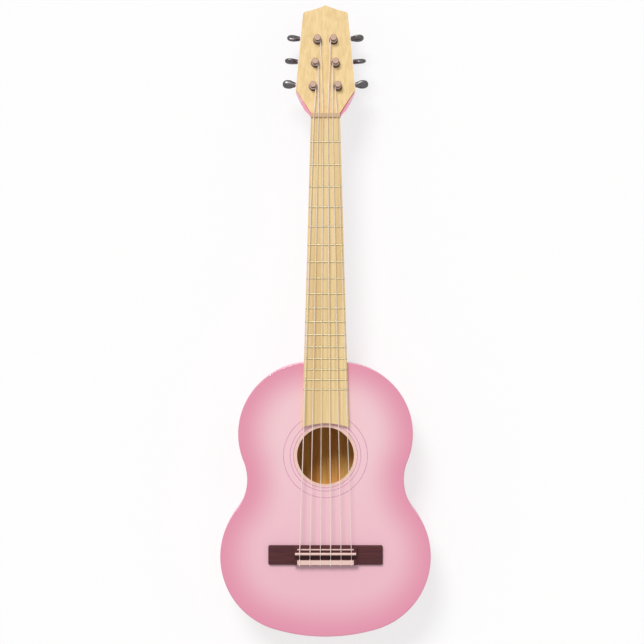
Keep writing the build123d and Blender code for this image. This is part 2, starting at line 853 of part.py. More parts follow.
with BuildPart() as button_form:
    with BuildSketch(Plane.YZ):
        with Locations((0, button_start + button_hub_length + button_length / 2)):
            Ellipse(button_width / 2, button_length / 2)
    extrude(amount=button_thickness / 2, both=True)
    fillet(button_form.faces().filter_by(Axis.X).edges(), button_edge_round)
    with BuildSketch(Plane.XY.offset(button_start)):
        Circle(button_hub_radius)
    extrude(amount=button_hub_length + button_thickness / 2)
    with BuildSketch(Plane.XY.offset(button_start)):
        Circle(worm_root_radius)
    extrude(amount=button_socket_depth, mode=Mode.SUBTRACT)

with BuildPart() as tuner_plate:
    plate_low = -plate_end_reach
    plate_high = 2 * post_pitch + screw_offset_high + plate_screw_margin
    plate_face = Plane(machine_location * Location((0, 0, plate_back)))
    with BuildSketch(plate_face):
        plate_width = plate_inner_reach + plate_outer_reach
        with Locations((plate_outer_reach - plate_width / 2, (plate_low + plate_high) / 2)):
            RectangleRounded(plate_width, plate_high - plate_low, plate_corner_radius)
    extrude(amount=plate_thickness)
    for post_location in post_locations:
        with BuildSketch(Plane(post_location).offset(plate_back)):
            Circle(post_neck_radius + bearing_clearance)
        extrude(amount=plate_thickness, mode=Mode.SUBTRACT)
        for lug_start in (-lug_outer, lug_inner):
            lug_location = post_location * Location((lug_start, center_distance, gear_middle), (0, 90, 0))
            lug_reach = plate_back - gear_middle
            with BuildSketch(Plane(lug_location)):
                with Locations(((lug_drop - lug_reach) / 2, 0)):
                    Rectangle(lug_reach + lug_drop, 2 * lug_drop)
                Circle(bearing_radius, mode=Mode.SUBTRACT)
            extrude(amount=lug_thickness)
    add(plate_screws.part, mode=Mode.SUBTRACT)
write(tuner_plate, "tuner_plate_treble")

with BuildPart() as bass_plate:
    add(tuner_plate.part)
    mirror(about=Plane.YZ, mode=Mode.REPLACE)
write(bass_plate, "tuner_plate_bass")

with BuildPart() as post_bushings:
    for post_location in post_locations:
        bushing_plane = Plane(post_location).offset(head_face_thickness)
        with BuildSketch(bushing_plane):
            Circle(post_hole_radius)
        extrude(amount=-bushing_depth)
        with BuildSketch(bushing_plane):
            Circle(bushing_flange_radius)
        extrude(amount=bushing_flange_thickness)
        with BuildSketch(bushing_plane.offset(bushing_flange_thickness)):
            Circle(post_radius + bearing_clearance)
        extrude(amount=-bushing_flange_thickness - bushing_depth, mode=Mode.SUBTRACT)
    mirror(about=Plane.YZ)
write(post_bushings, "post_bushings")


def set_in_place(form, location, side):
    """Sets a machine's piece at its place on the treble edge, mirrored for the bass edge."""
    with BuildPart() as piece:
        with Locations(location):
            add(form.part)
        if side < 0:
            mirror(about=Plane.YZ, mode=Mode.REPLACE)
    return piece


for number in string_numbers:
    post_location = post_locations[2 - string_rank(number)]
    side = string_side(number)
    gear_location = post_location * Location((0, 0, gear_middle))
    worm_location = post_location * Location((0, center_distance, gear_middle), (0, 90, 0))
    worm_location = worm_location * Location((0, 0, 0), (0, 0, worm_phase))
    button_location = worm_location * Location((0, 0, 0), (0, 0, button_rest_turns[number - 1]))
    write(set_in_place(post_form, post_location, side), f"post_{number}")
    write(set_in_place(gear_form, gear_location, side), f"gear_{number}")
    write(set_in_place(worm_form, worm_location, side), f"worm_shaft_{number}")
    write(set_in_place(button_form, button_location, side), f"button_{number}")


# ---- Strings: tied at the bridge, over saddle and nut, and wound on their posts ----
def make_string(number):
    """Builds one string as a round section carried along its whole route."""
    radius = string_diameters[number - 1] / 2
    rank = string_rank(number)
    across = saddle_x(number)
    tie_front = tie_block_front_y + radius + loop_gap
    tie_rear = bridge_rear_y - radius - loop_gap
    tie_over = block_top_z + strip_thickness + radius + loop_gap
    crest = saddle_thickness / 2 + radius + string_gap
    break_angle = radians(saddle_break_angle)
    crest_y = saddle_y - crest * tan(break_angle / 2)
    crest_z = saddle_top_z - saddle_thickness / 2 + crest
    rise_y = crest_y - (crest_z - tie_hole_z) / tan(break_angle)
    at_nut = Vector(nut_x(number), nut_middle_y, nut_slot_z + radius + string_gap)

    wrap_radius = post_waist_radius + radius + string_gap
    wrap_lead = 2 * radius + wrap_gap
    wrap_height = wrap_turns * wrap_lead
    fall = wrap_lead / (2 * pi * wrap_radius)
    post_center = head_plane.to_local_coords(post_locations[2 - rank].position)
    from_nut = head_plane.to_local_coords(at_nut)
    run = Vector(post_center.X - from_nut.X, post_center.Y - from_nut.Y)
    heading = run.normalized().rotate(Axis.Z, degrees(asin(wrap_radius / run.length)))
    wrap_center = Vector(post_center.X, post_center.Y, wrap_top)
    touch = wrap_center + Vector(-heading.Y, heading.X) * wrap_radius
    lead_in = touch - heading * wrap_lead_in + Vector(0, 0, fall * wrap_lead_in)
    touch_angle = degrees(atan2(heading.X, -heading.Y))
    wrap_base = Location(
        (post_center.X, post_center.Y, wrap_top - wrap_height), (0, 0, touch_angle - 360 * wrap_turns)
    )
    wrap = head_plane.location * wrap_base * Helix(wrap_lead, wrap_height, wrap_radius)
    route = [
        Vector(across, tie_front, block_top_z),
        Vector(across, tie_front, tie_over),
        Vector(across, tie_rear, tie_over),
        Vector(across, tie_rear, tie_hole_z),
        Vector(across, rise_y, tie_hole_z),
        Vector(across, crest_y, crest_z),
        at_nut,
        head_plane.from_local_coords(lead_in),
        head_plane.from_local_coords(touch),
    ]
    bends = [loop_radius] * 4 + [crest, nut_bend_radius, lead_in_bend_radius]
    with BuildPart() as string:
        with BuildLine() as path:
            FilletPolyline(route, radius=bends)
            add(wrap)
        with BuildSketch(Plane(origin=route[0], z_dir=route[1] - route[0])):
            Circle(radius)
        sweep(path=path.wire(), transition=Transition.ROUND)
        if string_side(number) < 0:
            mirror(about=Plane.YZ, mode=Mode.REPLACE)
    tube_volume = pi * radius**2 * path.wire().length
    print("string", number, "bends", bends, "volume share", string.part.volume / tube_volume)
    return string


for number in string_numbers:
    write(make_string(number), f"string_{number}")
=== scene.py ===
# %% [markdown]
# # A child's pink guitar
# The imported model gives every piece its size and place, in metres: +Y runs along the neck,
# +Z out of the soundboard, and the origin is on the back, straight below the soundhole.
# This lesson dresses that model. Large curved wooden shells are made again as smooth numpy
# surfaces, small turned and cut pieces keep their own meshes, and everything gets a finish.

# %% Load the model
import json
import math

import bmesh
import bpy
import numpy as np
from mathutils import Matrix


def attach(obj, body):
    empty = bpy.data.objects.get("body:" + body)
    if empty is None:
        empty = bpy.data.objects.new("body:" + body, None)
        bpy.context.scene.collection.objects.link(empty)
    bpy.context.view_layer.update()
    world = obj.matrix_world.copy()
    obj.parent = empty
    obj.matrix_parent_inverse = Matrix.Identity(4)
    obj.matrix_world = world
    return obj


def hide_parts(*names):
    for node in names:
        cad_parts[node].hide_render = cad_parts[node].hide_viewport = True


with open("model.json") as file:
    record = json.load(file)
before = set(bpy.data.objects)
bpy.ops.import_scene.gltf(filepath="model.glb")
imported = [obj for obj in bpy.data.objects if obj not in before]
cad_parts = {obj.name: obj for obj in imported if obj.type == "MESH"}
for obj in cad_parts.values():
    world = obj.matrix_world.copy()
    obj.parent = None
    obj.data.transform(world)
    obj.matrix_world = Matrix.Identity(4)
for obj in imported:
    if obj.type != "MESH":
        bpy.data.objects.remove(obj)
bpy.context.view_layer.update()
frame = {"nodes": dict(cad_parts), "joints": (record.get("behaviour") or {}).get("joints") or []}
joints = {joint["name"]: joint for joint in frame["joints"]}

# %% [markdown]
# ## Surfaces from grids
# A curved shell is a profile carried along an outline. As arrays, row i holds the outline at
# one step of the profile, so a mesh is only the quads between neighbouring rows and columns.
# Writing each vertex by hand, or bevelling a block, would give no even flow of faces for gloss.


# %% Turn a grid of points into a piece
def grid_faces(rows, columns, wrap_rows, wrap_columns):
    """Quads (i, j), (i, j+1), (i+1, j+1), (i+1, j) as vertex numbers, wrapping round if asked."""
    i = np.arange(rows if wrap_rows else rows - 1)
    j = np.arange(columns if wrap_columns else columns - 1)
    i, j = np.meshgrid(i, j, indexing="ij")
    after_i, after_j = (i + 1) % rows, (j + 1) % columns
    near = (i * columns + j, i * columns + after_j)
    far = (after_i * columns + after_j, after_i * columns + j)
    return np.stack(near + far, axis=-1).reshape(-1, 4), i.ravel()


MERGE_DISTANCE, SHARP_ANGLE = 1e-7, math.radians(40)


def make_piece(
    name, grid, finishes, body, replaced, wrap=(True, True), inner_rows=(), caps=False, rim=None
):
    """Builds grid[rows, columns, xyz] as one closed mesh: doubles merged, normals turned outwards."""
    rows, columns, _ = grid.shape
    faces, face_rows = grid_faces(rows, columns, *wrap)
    polygons = faces.tolist()
    if caps:
        ring = np.arange(columns)
        polygons += [ring[::-1].tolist(), (ring + (rows - 1) * columns).tolist()]
    mesh = bpy.data.meshes.new(name)
    mesh.from_pydata(grid.reshape(-1, 3).tolist(), [], polygons)
    second = np.zeros(len(polygons), dtype=np.int32)
    second[: len(faces)] = np.isin(face_rows, inner_rows)
    mesh.polygons.foreach_set("material_index", second)
    mesh.polygons.foreach_set("use_smooth", np.ones(len(polygons), dtype=bool))
    if rim is not None:
        mesh.attributes.new("rim", "FLOAT", "POINT").data.foreach_set("value", rim.astype(np.float32).ravel())
    work = bmesh.new()
    work.from_mesh(mesh)
    bmesh.ops.remove_doubles(work, verts=work.verts, dist=MERGE_DISTANCE)
    bmesh.ops.dissolve_degenerate(work, edges=work.edges, dist=MERGE_DISTANCE)
    bmesh.ops.recalc_face_normals(work, faces=work.faces)
    work.to_mesh(mesh)
    work.free()
    mesh.set_sharp_from_angle(angle=SHARP_ANGLE)
    piece = bpy.data.objects.new(name, mesh)
    bpy.context.scene.collection.objects.link(piece)
    for finish in finishes:
        mesh.materials.append(finish.material)
    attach(piece, body)
    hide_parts(*replaced)
    print(name, len(mesh.polygons), "faces")
    return piece


# %% [markdown]
# ## Shader maths in Python
# A finish is a small graph of nodes. Wrapping a socket in a class with Python's operators lets
# the graph be written as sums and products, which reads like the formula it stands for.


# %% Wrap sockets and materials
def paint(red, green, blue):
    """Turns a colour as seen on a screen, 0 to 255, into the linear colour that shaders use."""
    screen = np.array([red, green, blue]) / 255
    linear = np.where(screen <= 0.04045, screen / 12.92, ((screen + 0.055) / 1.055) ** 2.4)
    return (*linear.tolist(), 1.0)


class Link:
    """A value that varies over the surface; + - * on a number add Math nodes."""

    def __init__(self, finish, socket):
        self.finish, self.socket = finish, socket

    def _math(self, operation, first, second):
        return self.finish.node("ShaderNodeMath", {"operation": operation}, {0: first, 1: second})

    def __add__(self, other):
        return self._math("ADD", self, other)

    def __sub__(self, other):
        return self._math("SUBTRACT", self, other)

    def __rsub__(self, other):
        return self._math("SUBTRACT", other, self)

    def __mul__(self, other):
        return self._math("MULTIPLY", self, other)

    __radd__ = __add__
    __rmul__ = __mul__


class Finish:
    """One material: a Principled shader whose constant sockets are set when it is made."""

    def __init__(self, name, **constants):
        self.material = bpy.data.materials.new(name)
        self.material.use_nodes = True
        self.tree = self.material.node_tree
        self.shader = self.tree.nodes["Principled BSDF"]
        for socket, value in constants.items():
            self.shader.inputs[socket.replace("_", " ").title().replace("Ior", "IOR")].default_value = value

    def node(self, kind, settings, inputs, output=0):
        """Adds a node: its settings first, then a value or a link for each named socket."""
        made = self.tree.nodes.new(kind)
        for setting, value in settings.items():
            setattr(made, setting, value)
        for socket, value in inputs.items():
            if isinstance(value, Link):
                self.tree.links.new(value.socket, made.inputs[socket])
            else:
                made.inputs[socket].default_value = value
        return Link(self, made.outputs[output])

    def place(self, scale):
        """Object coordinates, stretched by a scale along each axis."""
        coordinates = self.node("ShaderNodeTexCoord", {}, {}, "Object")
        return self.node("ShaderNodeMapping", {}, {"Vector": coordinates, "Scale": scale})

    def noise(self, scale, detail=3.0, distortion=0.0):
        """Soft noise from 0 to 1, stretched by 1/scale along each axis."""
        inputs = {"Vector": self.place(scale), "Scale": 1.0, "Detail": detail, "Distortion": distortion}
        return self.node("ShaderNodeTexNoise", {}, inputs)

    def ramp(self, value, low, high):
        """0 below low, 1 above high, and an even S between them."""
        inputs = {"Value": value, "From Min": low, "From Max": high}
        return self.node("ShaderNodeMapRange", {"interpolation_type": "SMOOTHSTEP"}, inputs)

    def mix(self, share, first, second):
        """The first colour where share is 0 and the second where it is 1."""
        return self.node("ShaderNodeMix", {"data_type": "RGBA"}, {0: share, 6: first, 7: second}, 2)

    def feed(self, socket, value):
        """Sends a varying value or colour into one socket of the shader."""
        self.tree.links.new(value.socket, self.shader.inputs[socket])

    def bump(self, height, distance, strength=1.0):
        """Tilts the surface's normal as if it rose by height times distance, in metres."""
        inputs = {"Height": height, "Distance": distance, "Strength": strength}
        self.feed("Normal", self.node("ShaderNodeBump", {}, inputs))


# %% [markdown]
# ## Pink lacquer
# On the real guitar the plywood body is sprayed pale pink, with a deeper pink fogged round the
# rim and a clear gloss coat on top. A painted texture would need unwrapping; instead each shell
# carries its distance from the outline as an attribute called rim, and the shader fades by it.

# %% Lacquer that deepens towards the rim
FADE_START, FADE_END, FADE_WANDER = -0.002, 0.05, 0.008
TAIL_FADE_START, TAIL_FADE_END, GRAIN_SHARE = -0.04, 0.21, 0.05

pink_lacquer = Finish("pink_lacquer", roughness=0.3, coat_weight=0.5, coat_roughness=0.08)
rim_distance = pink_lacquer.node("ShaderNodeAttribute", {"attribute_name": "rim"}, {}, "Fac")
spray = pink_lacquer.noise((9, 9, 9), detail=2.0)
fade = pink_lacquer.ramp(rim_distance + (spray - 0.5) * FADE_WANDER, FADE_START, FADE_END)
position = pink_lacquer.node("ShaderNodeTexCoord", {}, {}, "Object")
along_body = pink_lacquer.node("ShaderNodeSeparateXYZ", {}, {"Vector": position}, "Y")
towards_tail = pink_lacquer.ramp(-1 * along_body, TAIL_FADE_START, TAIL_FADE_END)
centre_pink = pink_lacquer.mix(towards_tail, paint(241, 199, 206), paint(236, 180, 195))
sprayed = pink_lacquer.mix(fade, paint(225, 141, 167), centre_pink)
grain_below = pink_lacquer.noise((420, 11, 420), detail=2.0)
pink_lacquer.feed("Base Color", pink_lacquer.mix(grain_below * GRAIN_SHARE, sprayed, paint(214, 140, 160)))
pink_lacquer.bump(pink_lacquer.noise((160, 160, 160), detail=1.0), 0.00004)
print(pink_lacquer.material.name, len(pink_lacquer.tree.nodes), "shader nodes")

# %% [markdown]
# ## Bare wood
# The head's face, the fretboard, the bridge and the inside are all wood with its pores along
# +Y or +X. One recipe serves: noise stretched along the grain picks between a pale and a dark
# colour, a finer layer adds pores, and both press slightly into the surface.


# %% A recipe for grain
STREAK_RANGE, PORE_RANGE = (0.32, 0.7), (0.56, 0.74)
PORE_SHARE, STREAK_ROUGHNESS = 0.45, 0.1


def wood(name, pale, dark, streak_scale, pore_scale, pore_depth, **constants):
    """Wood from two stretched noises: wide streaks between two colours, and fine dark pores."""
    finish = Finish(name, **constants)
    streaks = finish.ramp(finish.noise(streak_scale, detail=5.0, distortion=0.4), *STREAK_RANGE)
    pores = finish.ramp(finish.noise(pore_scale, detail=2.0), *PORE_RANGE)
    finish.feed("Base Color", finish.mix(pores * PORE_SHARE, finish.mix(streaks, pale, dark), dark))
    finish.feed("Roughness", streaks * STREAK_ROUGHNESS + finish.shader.inputs["Roughness"].default_value)
    finish.bump(1 - pores, pore_depth)
    return finish


head_wood = wood(
    "head_wood", paint(238, 209, 154), paint(226, 194, 138), (320, 7, 320), (1300, 22, 1300), 0.00003,
    roughness=0.55, specular_ior_level=0.3,
)
board_wood = wood(
    "board_wood", paint(237, 212, 158), paint(219, 187, 132), (260, 5, 260), (1200, 20, 1200), 0.00005,
    roughness=0.55, specular_ior_level=0.3,
)
rosewood = wood(
    "rosewood", paint(86, 42, 43), paint(68, 30, 36), (30, 460, 460), (90, 1900, 1900), 0.00005,
    roughness=0.45, coat_weight=0.05, coat_roughness=0.2, specular_ior_level=0.2,
)
raw_wood = wood(
    "raw_wood", paint(250, 202, 112), paint(226, 156, 74), (200, 8, 200), (1100, 30, 1100), 0.00008,
    roughness=0.75,
)
ring_wood = wood(
    "ring_wood", paint(240, 203, 192), paint(231, 189, 176), (300, 300, 300), (900, 900, 900), 0.00002,
    roughness=0.35, coat_weight=0.5, coat_roughness=0.08,
)
ring_line = wood(
    "ring_line", paint(216, 142, 178), paint(196, 118, 158), (200, 200, 200), (900, 900, 900), 0.00002,
    roughness=0.35, coat_weight=0.5, coat_roughness=0.08,
)
print("six woods from one recipe")

# %% [markdown]
# ## Plastic, metal and nylon
# The nut, saddle and strips are cream plastic, the machines plated steel and brass, and the
# strings clear nylon. Each gets fine scratches or mottling at its own scale, because a surface
# with one even roughness looks computed rather than made.


# %% A recipe for plain materials
def smooth(name, base, second, mottle_scale, rough, rough_change, relief, **constants):
    """A material whose colour and roughness wander slightly between two values."""
    finish = Finish(name, **constants)
    mottle = finish.noise(mottle_scale, detail=4.0)
    finish.feed("Base Color", finish.mix(mottle, base, second))
    finish.feed("Roughness", mottle * rough_change + rough)
    finish.bump(mottle, relief)
    return finish


cream_plastic = smooth(
    "cream_plastic", paint(238, 203, 194), paint(228, 190, 181), (120, 120, 120),
    0.28, 0.1, 0.00002,
)
nut_plastic = smooth(
    "nut_plastic", paint(214, 182, 140), paint(200, 164, 120), (150, 150, 150),
    0.35, 0.1, 0.00002,
)
fret_wire = smooth(
    "fret_wire", (0.44, 0.37, 0.22, 1), (0.56, 0.48, 0.30, 1), (900, 60, 60),
    0.3, 0.15, 0.00001, metallic=1.0,
)
tuner_steel = smooth(
    "tuner_steel", (0.60, 0.59, 0.57, 1), (0.74, 0.72, 0.70, 1), (1400, 90, 90),
    0.18, 0.2, 0.00002, metallic=1.0,
)
post_steel = smooth(
    "post_steel", (0.20, 0.135, 0.11, 1), (0.26, 0.18, 0.145, 1), (700, 700, 700),
    0.42, 0.12, 0.00001, metallic=1.0,
)
# The bushings' near-black colour is painted shade: it darkens the ring round the foot of each post, where
# shade falls.
bushing_painted_shade = smooth(
    "bushing_painted_shade", (0.07, 0.045, 0.045, 1), (0.11, 0.075, 0.07, 1), (700, 700, 700),
    0.35, 0.1, 0.00001, metallic=1.0,
)
gear_brass = smooth(
    "gear_brass", (0.64, 0.46, 0.20, 1), (0.78, 0.60, 0.30, 1), (800, 800, 800),
    0.25, 0.2, 0.00002, metallic=1.0,
)
dark_chrome = smooth(
    "dark_chrome", (0.10, 0.093, 0.097, 1), (0.15, 0.14, 0.14, 1), (300, 300, 300),
    0.22, 0.12, 0.00001, metallic=1.0,
)
clear_nylon = smooth(
    "clear_nylon", paint(251, 236, 226), paint(246, 226, 214), (500, 60, 500), 0.25, 0.1, 0.00001,
    transmission_weight=0.12, ior=1.53,
)
print("nine plain materials from one recipe")

# %% [markdown]
# ## The body's outline
# A guitar is drawn with a compass: a tail arc, the lower bout, a waist arc bent the other way,
# the upper bout and a top arc, each tangent to the next. Tangent arcs keep their shape when
# they are moved inwards, so the same formula gives the binding line, the linings and the rim.

# %% Arcs of the outline
mm = 0.001
UPPER, UPPER_RADIUS = np.array([19.1, 26.1]) * mm, 86.0 * mm
LOWER, LOWER_RADIUS = np.array([35.6, -121.5]) * mm, 91.0 * mm
WAIST_RADIUS, TOP_RADIUS, TAIL_RADIUS = 58.1 * mm, 480.0 * mm, 217.0 * mm
BODY_DEPTH, BOARD, WALL, EDGE = 70.0 * mm, 3.0 * mm, 3.0 * mm, 1.2 * mm


def end_center(bout, bout_radius, radius, side):
    """Centre (0, y) of an end arc that touches a bout from outside it, by Pythagoras."""
    return np.array([0.0, bout[1] - side * math.sqrt((radius - bout_radius) ** 2 - bout[0] ** 2)])


def meeting(first, first_radius, second, second_radius):
    """Centre of a circle at given distances from two centres, on the right of the line between."""
    line = second - first
    length = np.linalg.norm(line)
    along = (first_radius**2 - second_radius**2 + length**2) / (2 * length)
    aside = math.sqrt(first_radius**2 - along**2)
    unit = line / length
    return first + unit * along + np.array([unit[1], -unit[0]]) * aside


TOP = end_center(UPPER, UPPER_RADIUS, TOP_RADIUS, 1)
TAIL = end_center(LOWER, LOWER_RADIUS, TAIL_RADIUS, -1)
WAIST = meeting(LOWER, LOWER_RADIUS + WAIST_RADIUS, UPPER, UPPER_RADIUS + WAIST_RADIUS)


def bearing(start, end):
    """Angle of the direction from one point to another, from 0 to a full turn."""
    return math.atan2(end[1] - start[1], end[0] - start[0]) % (2 * math.pi)


def arc(center, radius, start, end, count):
    """Points center + radius (cos a, sin a), for count angles a from start up to but not at end."""
    angle = start + (end - start) * np.arange(count) / count
    return center + radius * np.stack([np.cos(angle), np.sin(angle)], axis=-1)


def half_outline(inset):
    """The treble half, from the tail to the top of the body, moved inwards by inset."""
    full = 2 * math.pi
    tail_end = bearing(TAIL, LOWER)
    top_start = bearing(TOP, UPPER)
    parts = [
        arc(TAIL, TAIL_RADIUS - inset, 0.75 * full, tail_end, 20),
        arc(LOWER, LOWER_RADIUS - inset, tail_end, full + bearing(LOWER, WAIST), 70),
        arc(WAIST, WAIST_RADIUS + inset, bearing(WAIST, LOWER), bearing(WAIST, UPPER), 30),
        arc(UPPER, UPPER_RADIUS - inset, bearing(UPPER, WAIST) - full, top_start, 60),
        arc(TOP, TOP_RADIUS - inset, top_start, 0.25 * full, 20),
        TOP[None] + [[0.0, TOP_RADIUS - inset]],
    ]
    return np.concatenate(parts)


def outline(inset):
    """The whole closed outline: the treble half, then its mirror image back to the tail."""
    half = half_outline(inset)
    return np.concatenate([half, half[-2:0:-1] * [-1, 1]])


print("body", (outline(0).max(0) - outline(0).min(0)).round(4), "m wide and long")

# %% [markdown]
# ## Soundboard, back and sides
# Each is a closed profile carried round the outline: up the wall, over a small round, across
# the plate. Rows near the rim follow the outline moved inwards; further in they blend into a
# circle round the soundhole, or into one point on the back, so no face is long and thin.


# %% Rows of the plates
INSETS, LAST_INSET = np.array([2, 3.5, 5.5, 8, 11, 15, 20, 26, 33]) * mm, 40 * mm
BLEND_ROWS = 14


def lift(flat, height):
    """Adds a height to flat points."""
    return np.concatenate([flat, np.full((len(flat), 1), height)], axis=1)


def circle_row(radius):
    """Points on a circle round the soundhole, in the directions of the innermost outline row."""
    edge = outline(LAST_INSET)
    return edge / np.linalg.norm(edge, axis=1, keepdims=True) * radius


def plate_rows(height, round_sign, inner, wall_start):
    """Rows from the wall's foot over its rounded edge and across the plate to the inner row."""
    turn = np.linspace(0, math.pi / 2, 7)
    rows = [lift(outline(0), wall_start)]
    for angle in turn:
        edge_height = height - round_sign * EDGE * (1 - math.sin(angle))
        rows.append(lift(outline(EDGE * (1 - math.cos(angle))), edge_height))
    for inset in [*INSETS, LAST_INSET]:
        rows.append(lift(outline(inset), height))
    last = outline(LAST_INSET)
    for share in np.linspace(0, 1, BLEND_ROWS)[1:]:
        rows.append(lift(last + (inner - last) * share, height))
    return rows


def rim_distance_of(grid):
    """Distance in the plane from each point to the nearest point of the outline."""
    edge = outline(0)
    flat = grid[..., :2].reshape(-1, 2)
    gaps = np.stack([np.hypot(*(flat - point).T) for point in edge[::2]])
    return gaps.min(axis=0).reshape(grid.shape[:2])


# %% Soundboard with its hole and ring grooves
HOLE, BAND, LINE, GROOVE = 34.25 * mm, 3.9 * mm, 0.7 * mm, 0.6 * mm
RING_GAPS, RING_MARGIN = (12.0, 4.0, 0.0), 4 * mm
board_under = BODY_DEPTH - BOARD
groove_floor = BODY_DEPTH - GROOVE
ring_starts = [HOLE + BAND + gap * mm for gap in RING_GAPS]
rows = plate_rows(BODY_DEPTH, 1, circle_row(ring_starts[0] + RING_MARGIN), board_under)
for ring_start in ring_starts:
    rows.append(lift(circle_row(ring_start + LINE), BODY_DEPTH))
    rows.append(lift(circle_row(ring_start + LINE), groove_floor))
    if ring_start > HOLE + BAND:
        rows.append(lift(circle_row(ring_start), groove_floor))
        rows.append(lift(circle_row(ring_start), BODY_DEPTH))
rows.append(lift(circle_row(HOLE), groove_floor))
rows.append(lift(circle_row(HOLE), board_under))
top_grid = np.stack(rows)
raw_rows = (len(rows) - 2, len(rows) - 1)
make_piece(
    "soundboard_shell", top_grid, [pink_lacquer, raw_wood], "root", ["soundboard"],
    inner_rows=raw_rows, rim=rim_distance_of(top_grid),
)

# %% Back plate, bare on its inner face
point_row = outline(0) * 0
rows = [lift(point_row, BOARD)] + plate_rows(0.0, -1, point_row, BOARD)
back_grid = np.stack(rows)
make_piece(
    "back_shell", back_grid, [pink_lacquer, raw_wood], "root", ["back_plate"],
    wrap=(False, True), inner_rows=(0,), rim=rim_distance_of(back_grid),
)

# %% Two bent sides
heights = np.linspace(BOARD, board_under, 9)
outside = [lift(half_outline(0), height) for height in heights]
inside = [lift(half_outline(WALL), height) for height in heights[::-1]]
side_grid = np.stack(outside + inside).transpose(1, 0, 2)
for name, sign in (("treble", 1), ("bass", -1)):
    grid = side_grid * [sign, 1, 1]
    side = make_piece(
        f"side_{name}_shell", grid, [pink_lacquer, raw_wood], "root", [f"side_{name}"],
        wrap=(False, True), caps=True,
    )
    middles = np.zeros(len(side.data.polygons) * 3)
    side.data.polygons.foreach_get("center", middles)
    middles = middles.reshape(-1, 3)[:, :2] * [sign, 1]
    depth_in = np.stack([np.hypot(*(middles - point).T) for point in half_outline(0)]).min(axis=0)
    side.data.polygons.foreach_set("material_index", (depth_in > 0.9 * WALL).astype(np.int32))

# %% [markdown]
# ## Neck and head core
# The neck is one carved piece: a half-ellipse section that deepens gently from nut to heel,
# then sweeps down to the heel cap, and at the other end flares into the tilted head. Carrying
# a section along a path gives all of it at once; carving a block would leave flats in the curve.

# %% Neck sections from body to head
NUT_Y, HEAD_Y, BODY_TOP = 406.3 * mm, 411.5 * mm, TOP[1] + TOP_RADIUS
BOARD_END_Y, NUT_HALF, BOARD_END_HALF = 39.25 * mm, 17.5 * mm, 28.0 * mm
DEPTH_AT_NUT, DEPTH_AT_HEEL, HEEL_CAP_Z, HEEL_POINT = 13.5 * mm, 16.5 * mm, 6.0 * mm, 3.0 * mm
HEEL_LENGTH, HEEL_CAP_LENGTH = 48.0 * mm, 14.0 * mm
TILT = math.radians(14.0)
HEAD_ALONG = np.array([0, math.cos(TILT), -math.sin(TILT)])
HEAD_OUT = np.array([0, math.sin(TILT), math.cos(TILT)])
FLARE_LENGTH, FLARE_HALF, CORE = 14.0 * mm, 29.0 * mm, 12.0 * mm
THROAT_HALF, THROAT_DEPTH = 21.8 * mm, 14.0 * mm

heel_top = BODY_TOP + HEEL_LENGTH
heel_run = HEEL_LENGTH - HEEL_CAP_LENGTH
heel_depth = BODY_DEPTH - HEEL_CAP_Z + HEEL_POINT
y_heel = np.concatenate([[BODY_TOP - WALL / 2], BODY_TOP + HEEL_CAP_LENGTH * np.linspace(0.05, 1, 6)])
turn = np.linspace(math.pi / 2, 0, 25)[1:]
y_sweep = heel_top - heel_run * np.sin(turn)
y_shaft = np.linspace(heel_top, NUT_Y, 30)[1:]
depth_sweep = DEPTH_AT_HEEL + (heel_depth - DEPTH_AT_HEEL) * (1 - np.cos(turn))
depth_shaft = np.interp(y_shaft, [heel_top, NUT_Y], [DEPTH_AT_HEEL, DEPTH_AT_NUT])
y_rows = np.concatenate([y_heel, y_sweep, y_shaft])
depths = np.concatenate([np.full(len(y_heel), heel_depth), depth_sweep, depth_shaft])
halves = np.interp(y_rows, [BOARD_END_Y, NUT_Y], [BOARD_END_HALF, NUT_HALF])

throat = np.linspace(0, 1, 12)[1:]
swell = throat * throat * (3 - 2 * throat)
middle = np.minimum(1, throat * 2.2)
throat_start = np.array([0, NUT_Y, BODY_DEPTH])
throat_end = np.array([0, HEAD_Y, BODY_DEPTH]) + HEAD_ALONG * FLARE_LENGTH
throat_origins = throat_start + (throat_end - throat_start) * throat[:, None]
throat_halves = NUT_HALF + (THROAT_HALF - NUT_HALF) * middle + (FLARE_HALF - THROAT_HALF) * swell
throat_depths = DEPTH_AT_NUT + (THROAT_DEPTH - DEPTH_AT_NUT) * middle + (CORE - THROAT_DEPTH) * swell
tilts = TILT * swell

origins = np.stack([y_rows * 0, y_rows, y_rows * 0 + BODY_DEPTH], axis=-1)
origins = np.concatenate([origins, throat_origins])
halves = np.concatenate([halves, throat_halves])[:, None]
depths = np.concatenate([depths, throat_depths])[:, None]
tilts = np.concatenate([y_rows * 0, tilts])
around = np.linspace(0, math.pi, 33)
flat_top = np.linspace(-1, 1, 9)[1:-1]
across = np.concatenate([np.cos(around), flat_top])
below = np.concatenate([np.sin(around), flat_top * 0])
down = -np.stack([tilts * 0, np.sin(tilts), np.cos(tilts)], axis=-1)
neck_grid = origins[:, None, :] + down[:, None, :] * (depths * below)[..., None]
neck_grid[..., 0] += halves * across
neck_grid[..., 2] = np.maximum(neck_grid[..., 2], HEEL_CAP_Z)
make_piece(
    "neck_shaft", neck_grid, [pink_lacquer], "root", ["neck"], wrap=(False, True), caps=True
)

# %% Head core, a tilted plate with a chamfered back
HEAD_LENGTH, PEAK_RISE, SHOULDER_HALF = 138.4 * mm, 9.0 * mm, 27.0 * mm
WIDEST = np.array([35.7, 29.0]) * mm
SHOULDER = np.array([SHOULDER_HALF, HEAD_LENGTH - PEAK_RISE])
CORNER_REACH, CHAMFER, PEAK_HOLLOW = 2.6 * mm, 1.5 * mm, 1.2 * mm
FLARE_BOW = np.array([0.5, -0.3]) * mm


def curve(first, control, last, count):
    """A quadratic curve: (1-t)^2 first + 2t(1-t) control + t^2 last, for count values of t below 1."""
    t = (np.arange(count) / count)[:, None]
    return (1 - t) ** 2 * first + 2 * t * (1 - t) * control + t**2 * last


